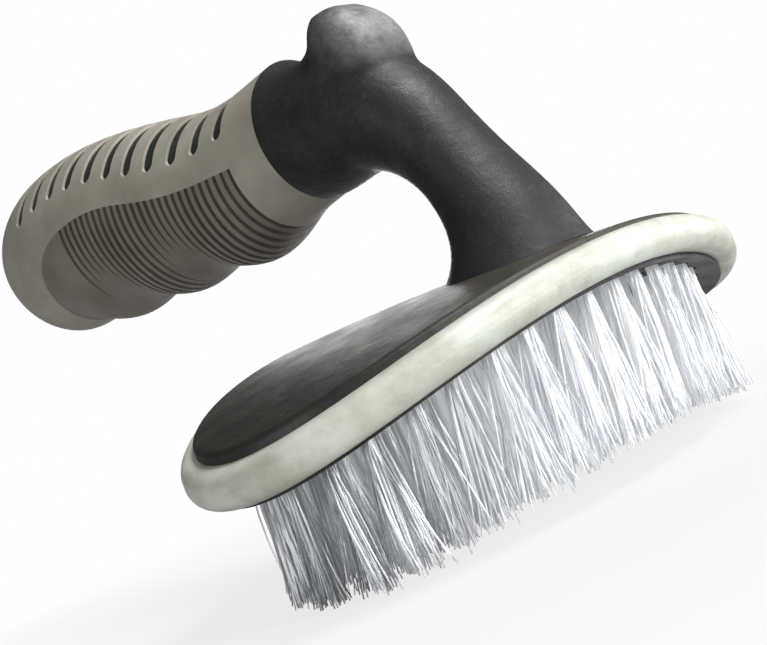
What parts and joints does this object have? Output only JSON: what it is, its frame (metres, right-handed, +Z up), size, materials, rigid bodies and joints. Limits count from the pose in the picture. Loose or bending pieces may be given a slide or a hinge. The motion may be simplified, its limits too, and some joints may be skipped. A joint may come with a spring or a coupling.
{
  "type": "wheel brush",
  "caption": "Hand scrubbing brush with an arched oval head of stapled tufts, a soft bumper band and a gooseneck handle with a slotted soft grip.",
  "frame": {"origin": "on the surface the brush stands on, under the middle of the bristle head", "axes": "+Z up, from the tuft tips to the handle; X along the head's long axis; +Y along the grip, from the head to the grip's free end"},
  "size_m": [0.14, 0.1694, 0.1028],
  "materials": {
    "black_plastic": "matte moulded polypropylene",
    "block_plastic": "matte moulded polypropylene",
    "band_rubber": "satin thermoplastic rubber",
    "grip_rubber": "satin thermoplastic rubber",
    "panel_rubber": "matte thermoplastic rubber",
    "bristle": "translucent nylon filament",
    "anchor_wire": "flat drawn wire",
    "screw_steel": "zinc plated"
  },
  "bodies": {
    "root": {"handle_body": "black_plastic", "head_cover": "black_plastic", "bristle_block": "block_plastic", "bumper_band": "band_rubber", "grip_sleeve": "grip_rubber", "grip_panel": "panel_rubber", "tufts_outer_ring": "bristle", "tufts_second_ring": "bristle", "tufts_third_ring": "bristle", "tufts_inner_ring": "bristle", "tufts_centre_row": "bristle", "anchors_outer_ring": "anchor_wire", "anchors_second_ring": "anchor_wire", "anchors_third_ring": "anchor_wire", "anchors_inner_ring": "anchor_wire", "anchors_centre_row": "anchor_wire", "block_screws": "screw_steel", "handle_screws": "screw_steel"}
  },
  "joints": []
}
